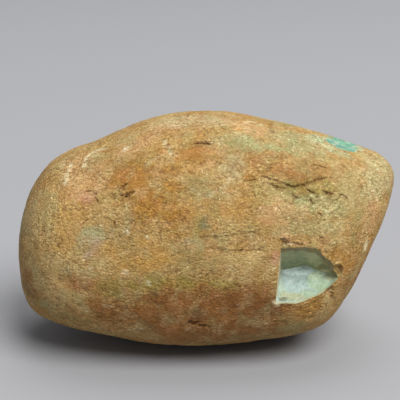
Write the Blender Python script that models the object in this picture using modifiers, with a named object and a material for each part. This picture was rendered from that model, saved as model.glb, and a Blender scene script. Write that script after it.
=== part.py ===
# Jadeite pebble: a river-worn stone that rests on a small flat spot. A window is sawn and
# broken out of its lower right front, and a spot at its upper right is ground and polished.
#
# Metres, +Z up. The origin is the bottom centre of the pebble's box, +X runs along its
# length to the narrow end, and -Y is the face with the window.

import math

import bmesh
import bpy
from mathutils import Matrix, Vector

MM = 0.001

# Driving dimensions, mm. The rest cut is what the flat rest spot takes off the round
# underside, and the height is measured from that spot
LENGTH = 180.0
DEPTH = 108.0
HEIGHT = 111.0
REST_CUT = 1.2

# The pebble's cross sections, mm: place along the length, levels of top and bottom,
# and reach to the front and to the back
SECTIONS = (
    (-90.0, 40.0, 40.0, 0.0, 0.0),
    (-84.0, 71.0, 14.0, 26.0, 23.0),
    (-72.0, 87.5, 12.0, 40.0, 34.0),
    (-56.0, 95.0, 9.5, 49.0, 42.0),
    (-40.0, 99.0, 7.0, 53.0, 47.0),
    (-24.0, 109.0, 2.5, 55.0, 51.0),
    (-6.0, 112.5, 0.0, 55.0, 54.0),
    (14.0, 109.5, 0.0, 54.0, 55.5),
    (34.0, 105.5, 1.5, 51.5, 54.0),
    (52.0, 100.0, 7.0, 46.5, 48.0),
    (66.0, 95.5, 25.0, 38.0, 38.0),
    (78.0, 93.5, 49.0, 26.5, 25.0),
    (86.0, 91.5, 72.0, 15.0, 14.0),
    (90.0, 82.0, 82.0, 0.0, 0.0),
)

# Each section is widest at this share of its height, and is squarer below than above:
# 2 is an ellipse, and more is squarer
WIDEST_LEVEL = 0.44
SQUARENESS_ABOVE = 2.1
SQUARENESS_BELOW = 2.5

# Flats worn into the pebble: where each faces, and its distance from the pebble's middle
# in mm. The share is what is left of the stone that would stand proud of a flat
WORN_FLATS = (
    ((-0.45, 0.72, 0.53), 57.0),
    ((0.50, 0.78, -0.38), 59.0),
    ((-0.30, 0.65, -0.70), 55.0),
    ((0.50, 0.62, 0.60), 63.0),
    ((-0.55, -0.70, 0.46), 68.0),
    ((0.10, -0.45, -0.89), 55.5),
)
FLAT_KEEPS = 0.35

# The window is a wedge, mm. Inside, its ceiling and its floor meet in a crease, and each
# point of its mouth lies on a line from that part of the crease out through the skin
WINDOW_CREASE = {
    "left": (35.2, -34.5, 45.7),
    "middle": (45.8, -33.0, 47.1),
    "right": (58.5, -39.0, 44.6),
}
WINDOW_MOUTH = (
    ("left", (33.7, -49.1, 61.5)),
    ("middle", (45.4, -46.5, 61.2)),
    ("middle", (50.9, -45.2, 59.3)),
    ("middle", (56.6, -43.7, 53.7)),
    ("right", (60.4, -41.7, 45.0)),
    ("right", (56.1, -43.8, 42.7)),
    ("middle", (50.7, -45.8, 39.2)),
    ("middle", (44.3, -47.6, 36.0)),
    ("left", (31.7, -50.5, 36.3)),
)
RUN_OUT = 1.5

# The polished spot is a shallow dish, mm, as a grinding wheel leaves it
DISH_MIDDLE = (65.0, -6.0, 96.1)
DISH_FACING = (0.29, -0.09, 0.96)
DISH_RADIUS = 60.0
DISH_FINENESS = 5

# Fineness of the faceted pebble, and the angle from which an edge is drawn sharp
CAGE_CUTS = 5
CAGE_LEVELS = 2
SHARP_EDGE = math.radians(30)

# Colour (linear), roughness and metallic value
WEATHERED_RIND = ((0.46, 0.30, 0.13, 1.0), 0.85, 0.0)
SAWN_JADEITE = ((0.45, 0.62, 0.50, 1.0), 0.45, 0.0)
POLISHED_JADEITE = ((0.22, 0.58, 0.42, 1.0), 0.2, 0.0)


def section_at(turn):
    """Top, bottom, front and back where an arc over the pebble has turned so far."""
    keys = [math.asin(row[0] * 2 / LENGTH) for row in SECTIONS]
    last = len(keys) - 1
    k = min(max(sum(key <= turn for key in keys) - 1, 0), last - 1)
    share = (turn - keys[k]) / (keys[k + 1] - keys[k])

    def slope(i, column):
        low, high = max(i - 1, 0), min(i + 1, last)
        return (SECTIONS[high][column] - SECTIONS[low][column]) / (keys[high] - keys[low])

    found = []
    for column in range(1, 5):
        start, end = SECTIONS[k][column], SECTIONS[k + 1][column]
        rise = (keys[k + 1] - keys[k]) * slope(k, column)
        fall = (keys[k + 1] - keys[k]) * slope(k + 1, column)
        found.append(
            start
            + rise * share
            + (3 * (end - start) - 2 * rise - fall) * share**2
            + (2 * (start - end) + rise + fall) * share**3
        )
    return found


def skin_point(toward):
    """The point of the pebble's skin in this direction from its middle, in mm."""
    top, bottom, front, back = section_at(math.asin(max(-1.0, min(1.0, toward.x))))
    middle = bottom + WIDEST_LEVEL * (top - bottom)
    point = Vector((toward.x * LENGTH / 2, 0.0, middle))
    around = Vector((toward.y, toward.z))
    if around.length > 1e-6:
        around.normalize()
        power = SQUARENESS_ABOVE if around.y > 0 else SQUARENESS_BELOW
        reach = (abs(around.x) ** power + abs(around.y) ** power) ** (-1 / power)
        point.y = reach * around.x * (front if around.x < 0 else back)
        point.z += reach * around.y * (top - middle if around.y > 0 else middle - bottom)
    return worn(point)


def worn(point):
    """The point after the worn flats have taken their share."""
    centre = Vector((0.0, 0.0, HEIGHT / 2))
    for facing, distance in WORN_FLATS:
        facing = Vector(facing).normalized()
        proud = (point - centre).dot(facing) - distance
        point = point - facing * max(proud, 0.0) * (1 - FLAT_KEEPS)
    return point


def new_collection(name):
    collection = bpy.data.collections.new(name)
    bpy.context.scene.collection.children.link(collection)
    return collection


def new_material(name, look):
    colour, roughness, metallic = look
    material = bpy.data.materials.new(name)
    material.use_nodes = True
    surface = material.node_tree.nodes["Principled BSDF"]
    surface.inputs["Base Color"].default_value = colour
    surface.inputs["Roughness"].default_value = roughness
    surface.inputs["Metallic"].default_value = metallic
    return material


def make_body(collection):
    """The whole pebble before any cut: a coarse cage, rounded and brought to its size."""
    cage = bpy.data.meshes.new("cage")
    shape = bmesh.new()
    bmesh.ops.create_cube(shape, size=2.0)
    bmesh.ops.subdivide_edges(shape, edges=shape.edges[:], cuts=CAGE_CUTS, use_grid_fill=True)
    for vert in shape.verts:
        vert.co = skin_point(vert.co.normalized()) * MM
    shape.to_mesh(cage)
    shape.free()

    body = bpy.data.objects.new("pebble", cage)
    collection.objects.link(body)
    rounding = body.modifiers.new("Rounding", "SUBSURF")
    rounding.levels = CAGE_LEVELS
    rounding.render_levels = CAGE_LEVELS
    graph = bpy.context.evaluated_depsgraph_get()
    body.data = bpy.data.meshes.new_from_object(body.evaluated_get(graph))
    body.data.name = "pebble"
    body.modifiers.clear()
    bpy.data.meshes.remove(cage)

    bring_to_size(body.data)
    body.data.materials.append(new_material("Weathered rind", WEATHERED_RIND))
    body.data.shade_smooth()
    body.data.set_sharp_from_angle(angle=SHARP_EDGE)
    return body


def bring_to_size(mesh):
    """Fits the box to the driving dimensions, with what the rest spot cuts off below 0."""
    spans = [[vert.co[axis] for vert in mesh.vertices] for axis in range(3)]
    sizes = (LENGTH, DEPTH, HEIGHT + REST_CUT)
    scale = [size * MM / (max(span) - min(span)) for size, span in zip(sizes, spans)]
    start = [(max(span) + min(span)) / 2 for span in spans]
    start[2] = min(spans[2]) + REST_CUT * MM / scale[2]
    moved = Matrix.Translation([-value for value in start])
    mesh.transform(Matrix.Diagonal((*scale, 1.0)) @ moved)


def make_cutter(name, shape, material, collection):
    """A cutter object from a bmesh in mm. What it cuts takes its material."""
    bmesh.ops.scale(shape, vec=(MM, MM, MM), verts=shape.verts)
    bmesh.ops.recalc_face_normals(shape, faces=shape.faces)
    mesh = bpy.data.meshes.new(name)
    shape.to_mesh(mesh)
    shape.free()
    mesh.materials.append(material)
    cutter = bpy.data.objects.new(name, mesh)
    cutter.hide_render = True
    cutter.display_type = "WIRE"
    collection.objects.link(cutter)
    return cutter


def make_rest_cutter(material, collection):
    """A block under the pebble, whose top face is the plane that it rests on."""
    side = LENGTH * 1.5
    shape = bmesh.new()
    bmesh.ops.create_cube(shape, size=side)
    bmesh.ops.translate(shape, vec=(0.0, 0.0, -side / 2), verts=shape.verts)
    return make_cutter("rest cutter", shape, material, collection)


def make_window_cutter(material, collection):
    """The wedge that is sawn and broken out, run on past the skin."""
    shape = bmesh.new()
    for point in WINDOW_CREASE.values():
        shape.verts.new(point)
    for inner, mouth in WINDOW_MOUTH:
        crease = Vector(WINDOW_CREASE[inner])
        shape.verts.new(crease + (Vector(mouth) - crease) * RUN_OUT)
    hull = bmesh.ops.convex_hull(shape, input=shape.verts)
    inside = [item for item in hull["geom_interior"] if isinstance(item, bmesh.types.BMVert)]
    bmesh.ops.delete(shape, geom=inside, context="VERTS")
    return make_cutter("window cutter", shape, material, collection)


def make_dish_cutter(material, collection):
    """A large ball that touches the bottom of the polished spot."""
    middle = Vector(DISH_MIDDLE) + Vector(DISH_FACING).normalized() * DISH_RADIUS
    shape = bmesh.new()
    bmesh.ops.create_icosphere(shape, subdivisions=DISH_FINENESS, radius=DISH_RADIUS)
    bmesh.ops.translate(shape, vec=middle, verts=shape.verts)
    return make_cutter("dish cutter", shape, material, collection)


def cut(body, cutter):
    taking = body.modifiers.new(cutter.name, "BOOLEAN")
    taking.operation = "DIFFERENCE"
    taking.solver = "EXACT"
    taking.material_mode = "TRANSFER"
    taking.object = cutter


def main():
    for thing in list(bpy.data.objects):
        bpy.data.objects.remove(thing, do_unlink=True)
    parts = new_collection("Jadeite pebble")
    cutters = new_collection("Cutters")
    body = make_body(parts)
    cut(body, make_rest_cutter(body.data.materials[0], cutters))
    cut(body, make_window_cutter(new_material("Sawn jadeite", SAWN_JADEITE), cutters))
    cut(body, make_dish_cutter(new_material("Polished jadeite", POLISHED_JADEITE), cutters))


if __name__ == "__main__":
    main()
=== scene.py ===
# Jadeite pebble, the looks: the weathered skin with its cracks and pits, the window that is
# sawn and broken into its green inside, and the small polished spot on its shoulder.

import math
import random

import bmesh
import bpy
import numpy as np
from mathutils import Matrix, Vector, noise
from mathutils.bvhtree import BVHTree
from mathutils.kdtree import KDTree


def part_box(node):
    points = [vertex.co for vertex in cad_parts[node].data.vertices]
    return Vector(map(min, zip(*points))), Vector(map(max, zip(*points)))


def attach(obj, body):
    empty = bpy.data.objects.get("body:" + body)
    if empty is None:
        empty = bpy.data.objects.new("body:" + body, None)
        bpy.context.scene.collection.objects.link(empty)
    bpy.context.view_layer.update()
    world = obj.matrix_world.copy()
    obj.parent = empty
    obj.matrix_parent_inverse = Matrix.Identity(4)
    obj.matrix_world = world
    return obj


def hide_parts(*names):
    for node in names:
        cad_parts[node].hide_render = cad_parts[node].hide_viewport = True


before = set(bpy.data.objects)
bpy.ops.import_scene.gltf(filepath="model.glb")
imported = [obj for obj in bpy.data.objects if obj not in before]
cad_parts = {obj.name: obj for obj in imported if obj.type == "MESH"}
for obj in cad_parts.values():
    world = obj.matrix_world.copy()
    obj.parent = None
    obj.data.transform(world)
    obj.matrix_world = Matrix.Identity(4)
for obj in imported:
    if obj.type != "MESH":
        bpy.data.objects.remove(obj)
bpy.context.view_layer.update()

mm = 0.001
pebbleBox = [Vector(corner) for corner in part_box("pebble")]
scene = bpy.context.scene
print("frame loaded")


def linear(colour):
    # an sRGB hex value as the linear colour that Blender's sockets take
    shares = [int(colour[i:i + 2], 16) / 255 for i in (1, 3, 5)]
    return tuple(s / 12.92 if s <= 0.04045 else ((s + 0.055) / 1.055) ** 2.4 for s in shares) + (1.0,)


def addNode(tree, kind, inputs=None, **settings):
    # a node with its settings, and its inputs by name or place: a socket is linked, a value is set.
    # It gives the node's outputs
    node = tree.nodes.new(kind)
    for name, value in settings.items():
        setattr(node, name, value)
    for name, value in (inputs or {}).items():
        if isinstance(value, bpy.types.NodeSocket):
            tree.links.new(value, node.inputs[name])
        else:
            node.inputs[name].default_value = value
    return node.outputs


# The view, in the photo's frame of 400 by 400 pixels
photo = {
    "pixels": 400,
    "elevation": 18.0,               # degrees above level
    "distance": 500.0,               # mm from the point looked at
    "lookedAt": (-1.9, 0.0, 68.2),   # mm
    "lens": 93.24,                   # mm, on a sensor 36 mm wide
    "sensor": 36.0,
    "leastShown": 0.35,              # no patch is stretched more than 1 / this by its slant
    "patchReach": 1.5,               # of a patch's larger half size: how far it reaches off its surface
}

# The camera's own directions, the place of its eye, and its focal length in pixels
tilt = math.radians(photo["elevation"])
ahead = Vector((0.0, math.cos(tilt), -math.sin(tilt)))
pictureRight = Vector((1.0, 0.0, 0.0))
pictureUp = Vector((0.0, math.sin(tilt), math.cos(tilt)))
eye = (Vector(photo["lookedAt"]) - ahead * photo["distance"]) * mm
focal = photo["lens"] / photo["sensor"] * photo["pixels"]


def makeCamera():
    data = bpy.data.cameras.new("camera")
    data.lens = photo["lens"]
    data.sensor_width = photo["sensor"]
    data.sensor_fit = "HORIZONTAL"
    camera = bpy.data.objects.new("camera", data)
    camera.location = eye
    camera.rotation_euler = ahead.to_track_quat("-Z", "Y").to_euler()
    scene.collection.objects.link(camera)
    scene.camera = camera


def sightOf(x, y):
    # the direction in which the camera sees this pixel
    middle = photo["pixels"] / 2
    return (ahead * focal + pictureRight * (x - middle) + pictureUp * (middle - y)).normalized()


# The skin: the same sections, flats and box as the solid has, but finer
skin = {
    "sections": (   # mm: place along the length, levels of top and bottom, reach to front and back
        (-90.0, 40.0, 40.0, 0.0, 0.0),
        (-84.0, 71.0, 14.0, 26.0, 23.0),
        (-72.0, 87.5, 12.0, 40.0, 34.0),
        (-56.0, 95.0, 9.5, 49.0, 42.0),
        (-40.0, 99.0, 7.0, 53.0, 47.0),
        (-24.0, 109.0, 2.5, 55.0, 51.0),
        (-6.0, 112.5, 0.0, 55.0, 54.0),
        (14.0, 109.5, 0.0, 54.0, 55.5),
        (34.0, 105.5, 1.5, 51.5, 54.0),
        (52.0, 100.0, 7.0, 46.5, 48.0),
        (66.0, 95.5, 25.0, 38.0, 38.0),
        (78.0, 93.5, 49.0, 26.5, 25.0),
        (86.0, 91.5, 72.0, 15.0, 14.0),
        (90.0, 82.0, 82.0, 0.0, 0.0),
    ),
    "widestLevel": 0.44,    # of a section's height
    "squareAbove": 2.1,     # how square a section is above there: 2 for an ellipse
    "squareBelow": 2.5,
    "flats": (              # where each worn flat faces, and its distance from the middle in mm
        ((-0.45, 0.72, 0.53), 57.0),
        ((0.50, 0.78, -0.38), 59.0),
        ((-0.30, 0.65, -0.70), 55.0),
        ((0.50, 0.62, 0.60), 63.0),
        ((-0.55, -0.70, 0.46), 68.0),
        ((0.10, -0.45, -0.89), 55.5),
    ),
    "flatKeeps": 0.35,      # of the stone that would stand proud of a flat
    "restCut": 1.2,         # mm that the rest spot takes off
    "cageCuts": 5,
    "roundings": 4,         # makes faces about 1 mm wide
}


def sectionAt(turn):
    # top, bottom, front and back where an arc over the pebble has turned so far
    rows = skin["sections"]
    keys = [math.asin(row[0] / rows[-1][0]) for row in rows]
    last = len(keys) - 1
    k = min(max(sum(key <= turn for key in keys) - 1, 0), last - 1)
    gap = keys[k + 1] - keys[k]
    share = (turn - keys[k]) / gap

    def slope(i, column):
        low, high = max(i - 1, 0), min(i + 1, last)
        return (rows[high][column] - rows[low][column]) / (keys[high] - keys[low])

    found = []
    for column in range(1, 5):
        start, end = rows[k][column], rows[k + 1][column]
        rise, fall = gap * slope(k, column), gap * slope(k + 1, column)
        bend = (3 * (end - start) - 2 * rise - fall) * share ** 2
        found.append(start + rise * share + bend + (2 * (start - end) + rise + fall) * share ** 3)
    return found


def skinPoint(toward):
    # the point of the skin in this direction from the middle, in mm
    halfLength = skin["sections"][-1][0]
    top, bottom, front, back = sectionAt(math.asin(max(-1.0, min(1.0, toward.x))))
    middle = bottom + skin["widestLevel"] * (top - bottom)
    point = Vector((toward.x * halfLength, 0.0, middle))
    around = Vector((toward.y, toward.z))
    if around.length > 1e-6:   # not at the very ends
        around.normalize()
        power = skin["squareAbove"] if around.y > 0 else skin["squareBelow"]
        reach = (abs(around.x) ** power + abs(around.y) ** power) ** (-1 / power)
        point.y = reach * around.x * (front if around.x < 0 else back)
        point.z += reach * around.y * (top - middle if around.y > 0 else middle - bottom)
    centre = Vector((0.0, 0.0, (pebbleBox[1].z - pebbleBox[0].z) / 2 / mm))
    for facing, distance in skin["flats"]:
        facing = Vector(facing).normalized()
        proud = (point - centre).dot(facing) - distance
        point = point - facing * max(proud, 0.0) * (1 - skin["flatKeeps"])
    return point


def evaluated(thing):
    # the object's mesh as its modifiers make it, and the modifiers are gone
    graph = bpy.context.evaluated_depsgraph_get()
    old = thing.data
    thing.data = bpy.data.meshes.new_from_object(thing.evaluated_get(graph))
    thing.data.name = thing.name
    thing.modifiers.clear()
    bpy.data.meshes.remove(old)


def newPiece(name, shape):
    # an object at the origin, from a bmesh that is used up
    mesh = bpy.data.meshes.new(name)
    shape.to_mesh(mesh)
    shape.free()
    piece = bpy.data.objects.new(name, mesh)
    scene.collection.objects.link(piece)
    return piece


def makeSkin():
    shape = bmesh.new()
    bmesh.ops.create_cube(shape, size=2.0)
    bmesh.ops.subdivide_edges(shape, edges=shape.edges[:], cuts=skin["cageCuts"], use_grid_fill=True)
    for vert in shape.verts:
        vert.co = skinPoint(vert.co.normalized()) * mm
    piece = newPiece("jadeitePebble", shape)
    rounding = piece.modifiers.new("rounding", "SUBSURF")
    rounding.levels = rounding.render_levels = skin["roundings"]
    evaluated(piece)

    # its box is the solid's, with what the rest spot takes off still below the floor
    low, high = pebbleBox[0].copy(), pebbleBox[1]
    low.z -= skin["restCut"] * mm
    points = pointsOf(piece.data)
    least, most = points.min(axis=0), points.max(axis=0)
    points = np.array(low) + (points - least) / (most - least) * np.array(high - low)
    setPoints(piece.data, points)
    return piece


def pointsOf(mesh):
    found = np.empty(len(mesh.vertices) * 3)
    mesh.vertices.foreach_get("co", found)
    return found.reshape(-1, 3)


def setPoints(mesh, points):
    mesh.vertices.foreach_set("co", points.ravel())
    mesh.update()


def normalsOf(mesh):
    found = np.empty(len(mesh.vertices) * 3)
    mesh.vertex_normals.foreach_get("vector", found)
    return found.reshape(-1, 3)


def treeOf(mesh):
    shape = bmesh.new()
    shape.from_mesh(mesh)
    found = BVHTree.FromBMesh(shape)
    shape.free()
    return found


def countTriangles(mesh):
    return sum(len(face.vertices) - 2 for face in mesh.polygons)


makeCamera()
pebble = makeSkin()
skinNow = treeOf(pebble.data)
print("skin made:", countTriangles(pebble.data), "triangles")


def onSkin(x, y):
    # the place that this pixel of the photo shows, and where the skin faces there
    place, facing, _, _ = skinNow.ray_cast(eye, sightOf(x, y))
    return place, facing


# Hollows and swells that the photo shows, by pixel: middle, half width and half height,
# turn in degrees, and depth in mm, which is less than nothing for a swell
relief = {
    "shelf under the long crack": ((302, 199), (46, 15), 4, 1.3),
    "brow over the long crack": ((300, 172), (40, 11), 0, -0.7),
    "pocket by the long crack": ((273.5, 186), (7, 3.2), 10, 0.8),
    "step right of the shelf": ((338, 205), (13, 16), 0, 0.5),
    "broad hollow in the middle": ((225, 205), (38, 26), 20, 0.7),
    "swell left of the window": ((235, 262), (38, 20), -5, -0.6),
    "hollow left of the pits": ((88, 178), (26, 22), -30, 0.8),
    "swell above the pits": ((138, 160), (30, 14), -12, -0.6),
    "dip in the left shoulder": ((112, 140), (26, 9), -14, 0.6),
    "hollow low on the left": ((70, 285), (26, 18), 30, 0.6),
    "nub under the window": ((275.5, 303.6), (2.6, 2.0), 0, -0.6),
    "chip at the window's right": ((337, 270), (7.5, 7.0), 25, 1.3),
    "chip below the window's tip": ((329, 292), (8, 6), -48, 1.1),
    "chip low right": ((316, 303), (9, 4), -35, 0.6),
    "nub above the window": ((286.2, 238.2), (5.4, 3.8), 14, -1.7),
    "lip above the window": ((297, 246.6), (13, 2.6), 4, -0.35),
}


def patchFrame(place, halfSizes, turn, walls=None):
    # a patch's middle, facing and axes on the skin, and its half sizes there in m. With a tree
    # of the window's walls, the patch lies on the wall that is seen through the skin there
    sight = sightOf(*place)
    middle, facing = onSkin(*place)
    if walls:
        middle, facing, _, _ = walls.ray_cast(middle, sight)
    perPixel = (middle - eye).length / focal

    # the picture's own directions, laid on the skin; the one that lies flatter on it goes first
    if abs(facing.dot(pictureRight)) < abs(facing.dot(pictureUp)):
        across = (pictureRight - facing * facing.dot(pictureRight)).normalized()
    else:
        across = pictureUp.cross(facing).normalized()
    upward = facing.cross(across)
    turn = math.radians(turn)
    axes = (
        across * math.cos(turn) - upward * math.sin(turn),
        across * math.sin(turn) + upward * math.cos(turn),
    )
    shown = [max(axis.cross(sight).length, photo["leastShown"]) for axis in axes]
    return middle, facing, axes, [size * perPixel / part for size, part in zip(halfSizes, shown)]


def frameShares(points, middle, facing, axes, sizes):
    # for each point, 1 at the middle of a patch down to 0 at its edge and beyond
    away = points - np.array(middle)
    spread = sum((away @ np.array(axis) / size) ** 2 for axis, size in zip(axes, sizes))
    spread += (away @ np.array(facing) / (photo["patchReach"] * max(sizes))) ** 2
    return np.clip(1 - spread, 0.0, 1.0)


def pressRelief(piece):
    points, facings = pointsOf(piece.data), normalsOf(piece.data)
    for place, halfSizes, turn, depth in relief.values():
        share = frameShares(points, *patchFrame(place, halfSizes, turn)) ** 2
        points = points - facings * (share * depth * mm)[:, None]
    setPoints(piece.data, points)


# The cracks, gashes and ridges that the photo shows, by pixel: half width, depth and ledge in mm,
# how dark with dirt and painted shade, then the points that each runs through. Below a ledge the skin lies
# lower than above it, and a ridge has a depth of less than nothing
cracks = {
    "step": 0.8,               # mm between the points of a path
    "fineStep": 0.3,           # mm between them once it wobbles
    "seenReach": 1.7,          # mm beside a path that get a finer mesh
    "seenCuts": 3,
    "strayReach": 1.0,
    "strayCuts": 1,
    "wobble": 0.75,            # mm
    "wobbleSize": 1.9,         # mm
    "raggedSize": 1.1,         # mm from a wide to a narrow place
    "ragged": (0.4, 1.5),      # of its width at a narrow and at a wide place
    "tips": (0.6, 2.5),        # of its size at its ends, and how fast it grows from there
    "halo": 0.38,              # of its dirt and painted shade, on the skin beside it
    "haloReach": (0.4, 2.8),   # of its width, from where to where the halo fades
    "ledgeReach": 7.0,         # mm over which a ledge fades out
    "ledgeGrowth": 4.0,        # how fast a ledge grows from the ends of its crack
    "ledgeEdge": (-0.1, 0.4),  # mm of height in which a ledge steps down
    "paths": {
        "lead-in crack": (0.45, 0.33, 0.1, 0.66, ((242, 181.6), (250, 180.6), (258, 178.8))),
        "long crack left": (0.6, 0.45, 0.3, 0.75, ((261.5, 176), (268, 178), (275, 180), (283, 182.6))),
        "long crack middle": (0.7, 0.6, 0.9, 0.66,
                              ((281, 182), (287, 184.6), (293, 186), (300, 185), (306, 183.8), (312, 181.6))),
        "long crack right": (0.6, 0.45, 0.4, 0.75, ((306, 184), (314.6, 180.2), (321, 178.6), (328, 177.6))),
        # its dark paint is painted shade on the shelf under the long crack
        "olive edge over painted shade": (0.7, 0.26, 0.5, 0.43, ((270, 183), (275, 186.6), (281, 188), (287, 189))),
        "short crack below it": (0.55, 0.55, 0.2, 0.85, ((306.6, 189), (311, 191.7), (316.4, 193.5))),
        "hook crack": (0.5, 0.5, 0.1, 0.85, ((309.5, 197), (311, 201), (314, 204.8))),
        "right crack": (0.5, 0.5, 0.3, 0.85, ((322.7, 190.4), (327, 192.2), (331, 193), (335.5, 194.2))),
        "right crack's end": (0.5, 0.45, 0.2, 0.85,
                              ((339.6, 194.4), (344, 194.8), (346, 197), (348.5, 199.6))),
        "shelf crack": (0.5, 0.45, 0.2, 0.75, ((291.5, 193.5), (294, 196), (298.6, 198.6))),
        "low shelf crack": (0.55, 0.4, 0.1, 0.8, ((317, 212), (320, 213.6), (322, 217))),
        "hair crack": (0.45, 0.3, 0.2, 0.7, ((311, 163.6), (319, 165.4), (328, 168.6))),
        "hair crack's branch": (0.35, 0.2, 0.1, 0.47, ((316, 168), (322, 170), (327, 173))),
        "upper crack": (0.95, 0.9, 0.4, 1, ((194, 143.6), (199, 142.4), (204, 142.4), (212, 143.8))),
        "upper crack's end": (0.35, 0.2, 0.1, 0.47, ((211, 143.6), (218, 141.2), (230, 139))),
        "top nick": (0.55, 0.5, 0, 0.8, ((189.6, 112.5), (188, 115), (186.7, 117.5))),
        "gash": (0.8, 0.7, 0.1, 0.9, ((119.5, 187.8), (123, 185.8), (127.5, 183))),
        "dark pit": (0.95, 1.1, 0.1, 1, ((124, 196.6), (127, 195.8), (130, 194.2))),
        "dark pit's tail": (0.6, 0.7, 0.1, 0.95,
                            ((119.6, 195.4), (123, 195), (127, 194), (131, 193), (134.4, 191.6))),
        "left scratch": (0.6, 0.45, 0, 0.85, ((94.6, 196.7), (96.4, 199.6), (99, 203.4))),
        "left upper scratch": (0.55, 0.5, 0.1, 0.85, ((84, 191.6), (88, 190.4), (92, 190.8))),
        "scratch between them": (0.5, 0.45, 0, 0.8, ((92, 191), (95, 193.6), (97, 195))),
        "far left scratch": (0.4, 0.26, 0, 0.66, ((72.5, 204), (76, 206.8))),
        "scratch by the arc": (0.35, 0.26, 0, 0.57, ((81, 169.6), (82, 172), (83.4, 174.4))),
        "dot by the arc": (0.5, 0.39, 0, 0.76, ((83.6, 161.6), (84.6, 163.4))),
        "slanting scratch": (0.35, 0.26, 0.1, 0.52, ((103, 216.4), (108, 218.4), (112.6, 220.6))),
        "upright scratch": (0.6, 0.6, 0, 0.95, ((114, 221.6), (114.8, 225), (115, 228))),
        "bottom pits": (1.0, 1.0, 0.1, 0.95, ((188, 324.6), (191, 322.4), (193, 324.6), (198, 321.6))),
        "bottom pits' end": (1.1, 1, 0.1, 1, ((198, 326.4), (202, 325.4), (206, 326.4))),
        "upper seam": (0.45, 0.3, 0.1, 0.6,
                       ((200, 237), (214, 237), (226, 236), (238, 234.4), (250, 232.8), (262, 232.2))),
        "lower seam": (0.45, 0.3, 0.1, 0.6,
                       ((207, 247.4), (220, 249.2), (234, 250.6), (242, 250.6), (254, 249.8), (266, 251))),
        "shadow under the nub": (0.38, 0.35, 0.1, 0.7,
                                 ((280.4, 238.6), (282.4, 241.6), (285.6, 243.6), (289, 244))),
        "crack above the window": (0.5, 0.4, 0.4, 0.65,
                                   ((288, 243.6), (293, 242.6), (299, 243.9), (305, 245.4))),
        "edge dent": (0.5, 0.39, 0.1, 0.66, ((318.6, 236.6), (321.6, 238), (324.6, 239.8))),
        "short seam's end": (0.35, 0.2, 0, 0.47, ((258, 229), (259.6, 231.6))),
        "ridge right of the window": (0.8, -0.85, 0, 0,
                                      ((331.5, 265.4), (336, 263.2), (340, 263), (342.6, 266), (342.8, 271))),
        "dip inside that ridge": (0.6, 0.1, 0, 0.2, ((333, 268.4), (337, 267), (339.6, 270), (340, 274))),
        "ridge below the tip": (0.7, -0.7, 0, 0,
                                ((327, 299), (327.4, 294), (330, 290.6), (333.6, 292), (334, 297))),
        "dip inside that one": (0.6, 0.39, 0, 0.38, ((329.8, 298), (330.6, 295), (331.6, 299))),
        "rim ridge": (0.6, -0.5, 0, 0, ((341, 280), (337, 284), (333, 287.6))),
    },
    "strays": 26,                 # cracks of the same kinds where the photo can't see
    "straySeed": 11,
    "strayUnseen": 0.1,           # at most how far the skin there faces the camera, 1 for straight at it
    "strayLean": 0.3,             # how far they set out from the level
    "strayTurn": 0.22,            # radians at each step
    "strayLengths": (5.0, 30.0),  # mm
    "strayWidths": (0.5, 0.9),    # mm
    "strayDepths": (0.8, 1.4),    # of the width
    "strayLedges": (0.0, 0.6),    # mm
    # how dark a stray crack is with dirt and painted shade
    "strayDirtAndShade": (0.5, 0.9),
}


def skinLine(pixels, step):
    # points on the skin along a line through these pixels, about a step in mm apart
    line = []
    for start, end in zip(pixels, pixels[1:]):
        steps = max(1, round((onSkin(*end)[0] - onSkin(*start)[0]).length / (step * mm)))
        for i in range(steps):
            line.append(onSkin(*(a + (b - a) * i / steps for a, b in zip(start, end)))[0])
    return line + [onSkin(*pixels[-1])[0]]


def seenPaths():
    # the photo's cracks as points on the skin, each with its sizes
    return [(skinLine(pixels, cracks["step"]), *sizes) for *sizes, pixels in cracks["paths"].values()]


def unseenPlace(draw, most):
    # a drawn place on the skin that faces away from the camera, or by most of 1 towards it
    middle = (pebbleBox[0] + pebbleBox[1]) / 2
    while True:
        toward = Vector([draw.gauss(0, 1) for _ in range(3)]).normalized()
        place, facing, _, _ = skinNow.ray_cast(middle + toward, -toward)
        if place is not None and facing.dot((eye - place).normalized()) <= most:
            return place, facing


def strayPaths():
    # wandering paths on the sides that the photo doesn't show
    draw = random.Random(cracks["straySeed"])
    lean = cracks["strayLean"]
    found = []
    for _ in range(cracks["strays"]):
        place, facing = unseenPlace(draw, cracks["strayUnseen"])
        heading = facing.cross(Vector((draw.gauss(0, lean), draw.gauss(0, lean), 1.0))).normalized()
        steps = round(draw.uniform(*cracks["strayLengths"]) / cracks["step"])
        line = [place]
        for _ in range(steps):
            heading.rotate(Matrix.Rotation(draw.gauss(0, cracks["strayTurn"]), 3, facing))
            place, facing, _, _ = skinNow.find_nearest(line[-1] + heading * cracks["step"] * mm)
            heading = (heading - facing * heading.dot(facing)).normalized()
            line.append(place)
        width = draw.uniform(*cracks["strayWidths"])
        depth = width * draw.uniform(*cracks["strayDepths"])
        ledge = draw.uniform(*cracks["strayLedges"])
        found.append((line, width, depth, ledge, draw.uniform(*cracks["strayDirtAndShade"])))
    return found


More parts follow.
